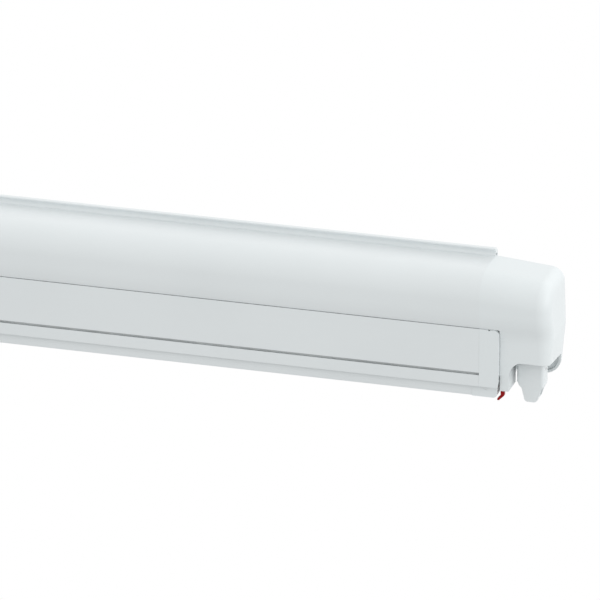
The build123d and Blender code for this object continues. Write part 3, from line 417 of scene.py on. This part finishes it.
screw_tree, screw_in, screw_out = node_tree("socket_screw", [
    ("Head radius", "Float"), ("Head height", "Float"), ("Shank radius", "Float"),
    ("Shank length", "Float"), ("Turn", "Vector"), ("Finish", "Material")])
head = place_node(screw_tree, "MeshCone", Vertices=28, Radius_Bottom=screw_in["Head radius"],
                  Radius_Top=tree_number(screw_tree, "MULTIPLY", screw_in["Head radius"], 0.86),
                  Depth=screw_in["Head height"])
socket_depth = tree_number(screw_tree, "MULTIPLY", screw_in["Head height"], 1.3)
socket = place_node(screw_tree, "MeshCylinder", Vertices=6, Depth=socket_depth,
                    Radius=tree_number(screw_tree, "MULTIPLY", screw_in["Head radius"], 0.5))
socket_at = place_node(screw_tree, "Transform", Geometry=socket.outputs["Mesh"],
                       Translation=tree_place(screw_tree, 0.0, 0.0, screw_in["Head height"]))
socket_cut = place_node(screw_tree, "MeshBoolean", Mesh_1=head.outputs["Mesh"], Mesh_2=socket_at.outputs[0])
shank = place_node(screw_tree, "MeshCylinder", Vertices=20, Depth=screw_in["Shank length"],
                   Radius=screw_in["Shank radius"])
shank_drop = tree_number(screw_tree, "MULTIPLY", screw_in["Shank length"], -0.499)
shank_at = place_node(screw_tree, "Transform", Geometry=shank.outputs["Mesh"],
                      Translation=tree_place(screw_tree, 0.0, 0.0, shank_drop))
screw_join = screw_tree.nodes.new("GeometryNodeJoinGeometry")
screw_tree.links.new(socket_cut.outputs["Mesh"], screw_join.inputs[0])
screw_tree.links.new(shank_at.outputs[0], screw_join.inputs[0])
screws_placed = place_node(screw_tree, "InstanceOnPoints", Points=screw_in["Geometry"],
                           Instance=screw_join.outputs[0], Rotation=screw_in["Turn"])
end_tree(screw_tree, screws_placed.outputs[0], screw_in["Finish"], screw_out["Geometry"])

zinc_steel = metal_finish("zinc_steel", (0.56, 0.57, 0.58), (0.44, 0.45, 0.47), 0.38, 0.0, 180.0)


def set_screws(node, seats, turn, head_size, shank_size):
    """Screws seated at these points; the turn swings the head's side from up."""
    values = {"Head radius": head_size[0], "Head height": head_size[1], "Shank radius": shank_size[0],
              "Shank length": shank_size[1], "Turn": turn, "Finish": zinc_steel}
    screws = grow("dressed_" + node, screw_tree, seats, values)
    ease_edges(screws, 0.0002, 2)
    stand_for(screws, node)


lock_screw_seats = [(x, -0.018, -0.0477) for x in (-0.9, 0.0, 0.9)]
set_screws("lock_screws", lock_screw_seats, (math.pi, 0.0, 0.0), head_size=(0.0045, 0.003),
           shank_size=(0.0025, 0.0087))


# Casing
# One long aluminium extrusion with a powder coat: the bulge over the roll, the rail
# along its top, the back wall, the floor and the hook that hangs on the brackets.

def skin_finish(name, colour, worn_colour, shade_and_dust_colour, gloss, grain, depth,
                line_depth=0.0, shade_and_dust_reach=0.006, shade_and_dust_amount=0.5):
    """Sprayed or moulded skin: clouded colour, a corner colour that is painted shade on pale and red skins
    and dust on black ones, and a fine peel.
    """
    material, shader = new_finish(name)
    tree = material.node_tree
    skin = add_effect(material, peel, Grain_per_metre=grain)
    corner_shading = add_effect(material, corner_shade, Reach=shade_and_dust_reach, Amount=shade_and_dust_amount)
    wear = spread_value(material, skin.outputs["Cloud"], -0.5, 1.5)
    clouded = blend_colour(material, wear, colour, worn_colour)
    shaded_and_dusted = blend_colour(material, corner_shading.outputs["Mask"], clouded, shade_and_dust_colour)
    tree.links.new(shaded_and_dusted, shader.inputs["Base Color"])
    rough = spread_value(material, skin.outputs["Cloud"], gloss - 0.05, gloss + 0.05)
    tree.links.new(rough, shader.inputs["Roughness"])
    surface = relief(material, skin.outputs["Height"], depth)
    if line_depth:
        drawn = add_effect(material, lines)
        surface = relief(material, drawn.outputs["Height"], line_depth, surface)
    tree.links.new(surface, shader.inputs["Normal"])
    return material


# Its corner colour is painted shade: a faint darkening in creases and where parts meet.
white_coat = skin_finish("white_powder_coat", (0.805, 0.84, 0.85), (0.78, 0.815, 0.825), (0.45, 0.47, 0.47),
                         gloss=0.36, grain=450.0, depth=0.000012,
                         line_depth=0.000006, shade_and_dust_reach=0.004, shade_and_dust_amount=0.15)
dress("casing", white_coat, 0.0005)


# Roller tube and end plugs
# A drawn steel tube that carries the fabric, with a black moulded plug pressed into
# each end. The plugs' shafts turn in the winch and in the bearing at the far end.

black_mould = skin_finish("black_moulding", (0.022, 0.023, 0.024), (0.035, 0.036, 0.038), (0.10, 0.10, 0.10),
                          gloss=0.5, grain=900.0, depth=0.00003)
dress("roller_tube", zinc_steel, 0.0002, 1)
dress("roller_plugs", black_mould, 0.0003)


# Awning fabric
# Coated polyester cloth, wound thirteen times round the roller tube and led from
# the roll's underside to the lead bar, where its edge is welded round a cord.

roll_centre = (-0.0403, 0.029)
roll_turns = 13.7
tube_surface = 0.0201
cloth_pitch = 0.00043
cloth_half = 1.19
leaving_angle = math.radians(-7.5)
cloth_edge = (-0.0562, 0.0002)
steps_per_turn = 44
web_rows = 40
cloth_columns = 28

cloth_path = []
wound_steps = int(roll_turns * steps_per_turn)
for step in range(wound_steps + 1):
    turned = leaving_angle - (wound_steps - step) / steps_per_turn * 2 * math.pi
    radius = tube_surface + cloth_pitch * step / steps_per_turn
    cloth_path.append((roll_centre[0] - radius * math.sin(turned),
                       roll_centre[1] - radius * math.cos(turned)))
leaving_point = cloth_path[-1]
for row in range(1, web_rows + 1):
    cloth_path.append(tuple(a + (b - a) * row / web_rows for a, b in zip(leaving_point, cloth_edge)))

cloth_run = [0.0]
for before, after in zip(cloth_path, cloth_path[1:]):
    cloth_run.append(cloth_run[-1] + math.dist(before, after))
across = [cloth_half * (2 * column / cloth_columns - 1) for column in range(cloth_columns + 1)]
cloth_shape = bmesh.new()
cloth_uv = cloth_shape.loops.layers.uv.new("UVMap")
cloth_rows = [[cloth_shape.verts.new((x, y, z)) for x in across] for y, z in cloth_path]
for row in range(len(cloth_rows) - 1):
    for column in range(cloth_columns):
        ring = [(row, column), (row + 1, column), (row + 1, column + 1), (row, column + 1)]
        face = cloth_shape.faces.new([cloth_rows[r][c] for r, c in ring])
        face.smooth = True
        for loop, (r, c) in zip(face.loops, ring):
            loop[cloth_uv].uv = (across[c], cloth_run[r])
cloth_mesh = bpy.data.meshes.new("awning_cloth")
cloth_shape.to_mesh(cloth_mesh)
cloth_shape.free()

cloth, cloth_shader = new_finish("awning_cloth")
cloth_tree = cloth.node_tree
cloth_place = cloth_tree.nodes.new("ShaderNodeUVMap").outputs["UV"]
stripes = cloth_tree.nodes.new("ShaderNodeTexWave")
stripes.inputs["Scale"].default_value = 1.1
cloth_tree.links.new(cloth_place, stripes.inputs["Vector"])
stripe_edges = cloth_tree.nodes.new("ShaderNodeValToRGB")
stripe_edges.color_ramp.interpolation = "EASE"
stripe_edges.color_ramp.elements[0].position = 0.42
stripe_edges.color_ramp.elements[1].position = 0.58
cloth_tree.links.new(stripes.outputs["Fac"], stripe_edges.inputs["Fac"])
cloth_cloud = cloth_tree.nodes.new("ShaderNodeTexNoise")
cloth_cloud.inputs["Scale"].default_value = 5.0
cloth_tree.links.new(cloth_place, cloth_cloud.inputs["Vector"])
threads_per_metre = 900.0
thread_sockets = []
for direction in ("X", "Y"):
    threads = cloth_tree.nodes.new("ShaderNodeTexWave")
    threads.bands_direction = direction
    threads.inputs["Scale"].default_value = threads_per_metre / 20 * math.pi
    cloth_tree.links.new(cloth_place, threads.inputs["Vector"])
    thread_sockets.append(threads.outputs["Fac"])
weave = shader_math(cloth_tree, "MULTIPLY", *thread_sockets)
cloth_stripe = blend_colour(cloth, stripe_edges.outputs["Color"], (0.40, 0.42, 0.44), (0.52, 0.54, 0.56))
cloth_soiling = spread_value(cloth, cloth_cloud.outputs["Fac"], 0.0, 0.35)
cloth_tone = blend_colour(cloth, cloth_soiling, cloth_stripe, (0.34, 0.36, 0.38))
cloth_colour = blend_colour(cloth, spread_value(cloth, weave, 0.0, 0.25), cloth_tone, (0.60, 0.62, 0.64))
cloth_tree.links.new(cloth_colour, cloth_shader.inputs["Base Color"])
cloth_rough = spread_value(cloth, cloth_cloud.outputs["Fac"], 0.55, 0.7)
cloth_tree.links.new(cloth_rough, cloth_shader.inputs["Roughness"])
cloth_shader.inputs["Sheen Weight"].default_value = 0.15
cloth_tree.links.new(relief(cloth, weave, 0.00012), cloth_shader.inputs["Normal"])
cloth_mesh.materials.append(cloth)

awning_cloth = bpy.data.objects.new("awning_cloth", cloth_mesh)
bpy.context.scene.collection.objects.link(awning_cloth)
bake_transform(awning_cloth)
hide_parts("fabric_roll", "fabric_web")


# Winch and roller bearing
# Moulded carriers behind the end caps. The winch's bevel wheel on the roller's shaft is
# driven by the pinion on the crank's shaft; the bearing only holds the far plug.

# Its corner colour, reaching 12 mm, is painted shade: it darkens the hollow under the end cap's bulge and
# other recesses.
white_mould = skin_finish("white_moulding", (0.81, 0.85, 0.86), (0.79, 0.83, 0.84), (0.52, 0.54, 0.54),
                          gloss=0.40, grain=1300.0, depth=0.00001,
                          line_depth=0.0, shade_and_dust_reach=0.012, shade_and_dust_amount=0.25)
dress("gear_housing", white_mould, 0.0004)
dress("roller_bearing_left", white_mould, 0.0004)
dress("bevel_wheel", zinc_steel, 0.0)
dress("crank_shaft", zinc_steel, 0.0)


# Spring arms
# Per side an upper arm and a forearm of rectangular aluminium tube with cast ends,
# joined at an elbow. A long tension spring in the upper arm pulls a cable at the elbow.

for casting in ("shoulder_bracket", "arm_root", "elbow_fork", "elbow_tongue", "forearm_tip"):
    dress(casting, white_coat, 0.0005)
for tube in ("upper_arm_tube", "forearm_tube"):
    dress(tube, white_coat, 0.0002, 1)
for pivot in ("shoulder_pins", "elbow_pin"):
    dress(pivot, zinc_steel, 0.0003)
shoulder_screw_seats = [(x, -0.0123, z) for x in (-1.2, 1.2) for z in (-0.0305, -0.0095)]
set_screws("shoulder_screws", shoulder_screw_seats, (math.pi / 2, 0.0, 0.0), head_size=(0.0036, 0.0022),
           shank_size=(0.002, 0.006))

spring_tree, spring_in, spring_out = node_tree("arm_spring", [
    ("Coil radius", "Float"), ("Wire radius", "Float"), ("Turns", "Float"), ("Spring length", "Float"),
    ("Cable radius", "Float"), ("Cable length", "Float"), ("Ferrule length", "Float"), ("Turn", "Vector"),
    ("Finish", "Material")])
coil_radius = tree_number(spring_tree, "SUBTRACT", spring_in["Coil radius"], spring_in["Wire radius"])
coil = place_node(spring_tree, "CurveSpiral", Resolution=14, Rotations=spring_in["Turns"],
                  Start_Radius=coil_radius, End_Radius=coil_radius, Height=spring_in["Spring length"])
wire = place_node(spring_tree, "CurvePrimitiveCircle", Resolution=6, Radius=spring_in["Wire radius"])
coil_solid = place_node(spring_tree, "CurveToMesh", Curve=coil.outputs[0],
                        Profile_Curve=wire.outputs[0], Fill_Caps=True)
cable = place_node(spring_tree, "MeshCylinder", Vertices=12, Radius=spring_in["Cable radius"],
                   Depth=spring_in["Cable length"])
cable_drop = tree_number(spring_tree, "MULTIPLY", spring_in["Cable length"], -0.5)
cable_at = place_node(spring_tree, "Transform", Geometry=cable.outputs["Mesh"],
                      Translation=tree_place(spring_tree, 0.0, 0.0, cable_drop))
ferrule_radius = tree_number(spring_tree, "MULTIPLY", spring_in["Coil radius"], 0.76)
ferrule = place_node(spring_tree, "MeshCylinder", Vertices=20, Radius=ferrule_radius,
                     Depth=spring_in["Ferrule length"])
ferrule_rise = tree_number(spring_tree, "MULTIPLY", spring_in["Ferrule length"], 0.5)
ferrule_at = place_node(spring_tree, "Transform", Geometry=ferrule.outputs["Mesh"],
                        Translation=tree_place(spring_tree, 0.0, 0.0, ferrule_rise))
spring_join = spring_tree.nodes.new("GeometryNodeJoinGeometry")
for part in (coil_solid.outputs[0], cable_at.outputs[0], ferrule_at.outputs[0]):
    spring_tree.links.new(part, spring_join.inputs[0])
spring_placed = place_node(spring_tree, "InstanceOnPoints", Points=spring_in["Geometry"],
                           Instance=spring_join.outputs[0], Rotation=spring_in["Turn"])
end_tree(spring_tree, spring_placed.outputs[0], spring_in["Finish"], spring_out["Geometry"])

spring_end_x = 0.4799
for side, turn in (("right", math.pi / 2), ("left", -math.pi / 2)):
    spring_seat = (math.copysign(spring_end_x, turn), -0.0225, -0.02)
    spring_values = {"Coil radius": 0.0076, "Wire radius": 0.0008, "Turns": 376.0, "Spring length": 0.6399,
                     "Cable radius": 0.0015, "Cable length": 0.3196, "Ferrule length": 0.0279,
                     "Turn": (0.0, turn, 0.0), "Finish": zinc_steel}
    spring = grow("dressed_spring_" + side, spring_tree, [spring_seat], spring_values)
    stand_for(spring, "spring_and_cable_" + side)


# Lead bar
# The front extrusion that closes the case: a plain face with one fine groove, a
# channel behind for the fabric's cord, and moulded caps pushed into its ends.

# A copy of the white coat with strong painted shade in its corners, which darkens the lead bar's fine groove
# and the gap under its face.
groove_shaded_coat = skin_finish("front_powder_coat_groove_shade", (0.805, 0.84, 0.85), (0.78, 0.815, 0.825), (0.28, 0.30, 0.30),
                         gloss=0.36, grain=450.0, depth=0.000012,
                         line_depth=0.000006, shade_and_dust_reach=0.004, shade_and_dust_amount=1.1)
dress("lead_bar", groove_shaded_coat, 0.0003)
dress("lead_bar_cap", white_mould, 0.0004)
dress("keder_rod", black_mould, 0.0)
dress("wrist_bracket", white_coat, 0.0005)
dress("wrist_pins", zinc_steel, 0.0003)
wrist_screw_seats = [(x, -0.054, z) for x in (-1.2, 1.2) for z in (-0.0305, -0.0095)]
set_screws("wrist_screws", wrist_screw_seats, (-math.pi / 2, 0.0, 0.0), head_size=(0.0036, 0.0022),
           shank_size=(0.002, 0.006))


# Support legs
# Per side a coated outer tube that folds down from a hinge under the lead bar, with a
# bare inner tube that slides in it and a black moulded foot on its end.

dress("leg_hinge", zinc_steel, 0.0004)
dress("leg_pins", white_coat, 0.0003)
# The knuckle's slot leaves a strip thinner than an eased edge, so its edges stay sharp.
dress("leg_knuckle", white_mould, 0.0)
dress("outer_leg", white_coat, 0.0002, 1)
dress("inner_leg", bare_aluminium, 0.0002, 1)
dress("leg_tip", black_mould, 0.0004)
dress("foot", black_mould, 0.0005)


# End caps
# Moulded shells screwed to the carriers from behind. Each closes one end of the casing
# and of the lead bar's channel, and arches over the winch's eye.

dress("end_cap", white_mould, 0.0007, 3)
cap_screw_seats = [(x, -0.0083, z) for x in (-1.2295, 1.2295) for z in (0.0194, 0.0471)]
set_screws("cap_screws", cap_screw_seats, (-math.pi / 2, 0.0, 0.0), head_size=(0.0036, 0.0022),
           shank_size=(0.002, 0.012))


# Leg catches
# A small red moulded claw on a steel pin in each cheek, which hooks under the stored
# leg's end and swings clear of it.

# Its corner colour is painted shade, a darker red in the catch's hollows.
red_mould = skin_finish("red_moulding", (0.34, 0.0, 0.001), (0.28, 0.0, 0.001), (0.12, 0.0, 0.0),
                        gloss=0.45, grain=900.0, depth=0.000012)
red_mould.node_tree.nodes["Principled BSDF"].inputs["Specular IOR Level"].default_value = 0.2
dress("leg_catch", red_mould, 0.0004, 3)
dress("catch_pins", zinc_steel, 0.0002)


# Crank eye
# The moulded loop that the crank's hook goes through, held on the winch's shaft by a
# cross pin.

dress("crank_eye", white_mould, 0.0)
crank_eye = bpy.data.objects["dressed_crank_eye"]
cut_tolerance = 0.000001
level_tolerance = 0.00001
# Knees of the straight loop: the foot of the body, and the top of the loop.
body_foot_z = -0.0572
loop_top_z = -0.0642
# Down the tongue: height, and how far its two sides lie from the eye's middle.
tongue_sides = [(-0.0555, -0.014, 0.014), (-0.061, -0.009, 0.0125), (-0.066, -0.0076, 0.0100),
                (-0.071, -0.0062, 0.0084), (-0.0756, -0.0056, 0.0072)]


def sides_at(rows, z):
    """Left and right reach at a height, from rows of height, left and right, top first."""
    for (z0, left0, right0), (z1, left1, right1) in zip(rows, rows[1:]):
        if z >= z1:
            share = (z0 - z) / (z0 - z1)
            return left0 + share * (left1 - left0), right0 + share * (right1 - right0)
    return rows[-1][1:]


def ends_of(values):
    return min(values), max(values)


def taper_tongue(mesh):
    """Gives the eye's straight loop the sides of the tapered tongue, and keeps its hole."""
    shape = bmesh.new()
    shape.from_mesh(mesh)
    levels = sorted({row[0] for row in tongue_sides[:-1]} | {body_foot_z, loop_top_z}, reverse=True)
    for z in levels:
        whole = shape.verts[:] + shape.edges[:] + shape.faces[:]
        bmesh.ops.bisect_plane(shape, geom=whole, plane_co=(0.0, 0.0, z), plane_no=(0.0, 0.0, 1.0),
                               dist=cut_tolerance)
    middle = sum(ends_of([v.co.x for v in shape.verts])) / 2
    straight_sides = []
    for z in levels:
        ends = ends_of([v.co.x for v in shape.verts if abs(v.co.z - z) < level_tolerance])
        straight_sides.append((z, ends[0] - middle, ends[1] - middle))
    for vert in shape.verts:
        if vert.co.z < levels[0]:
            left, right = sides_at(straight_sides, vert.co.z)
            new_left, new_right = sides_at(tongue_sides, vert.co.z)
            share = (vert.co.x - middle - left) / (right - left)
            vert.co.x = middle + new_left + share * (new_right - new_left)
    shape.normal_update()
    shape.to_mesh(mesh)
    shape.free()
    mesh.set_sharp_from_angle(angle=math.radians(28))


taper_tongue(crank_eye.data)
ease_edges(crank_eye, 0.0006, 3)
dress("crank_eye_pin", zinc_steel, 0.0)
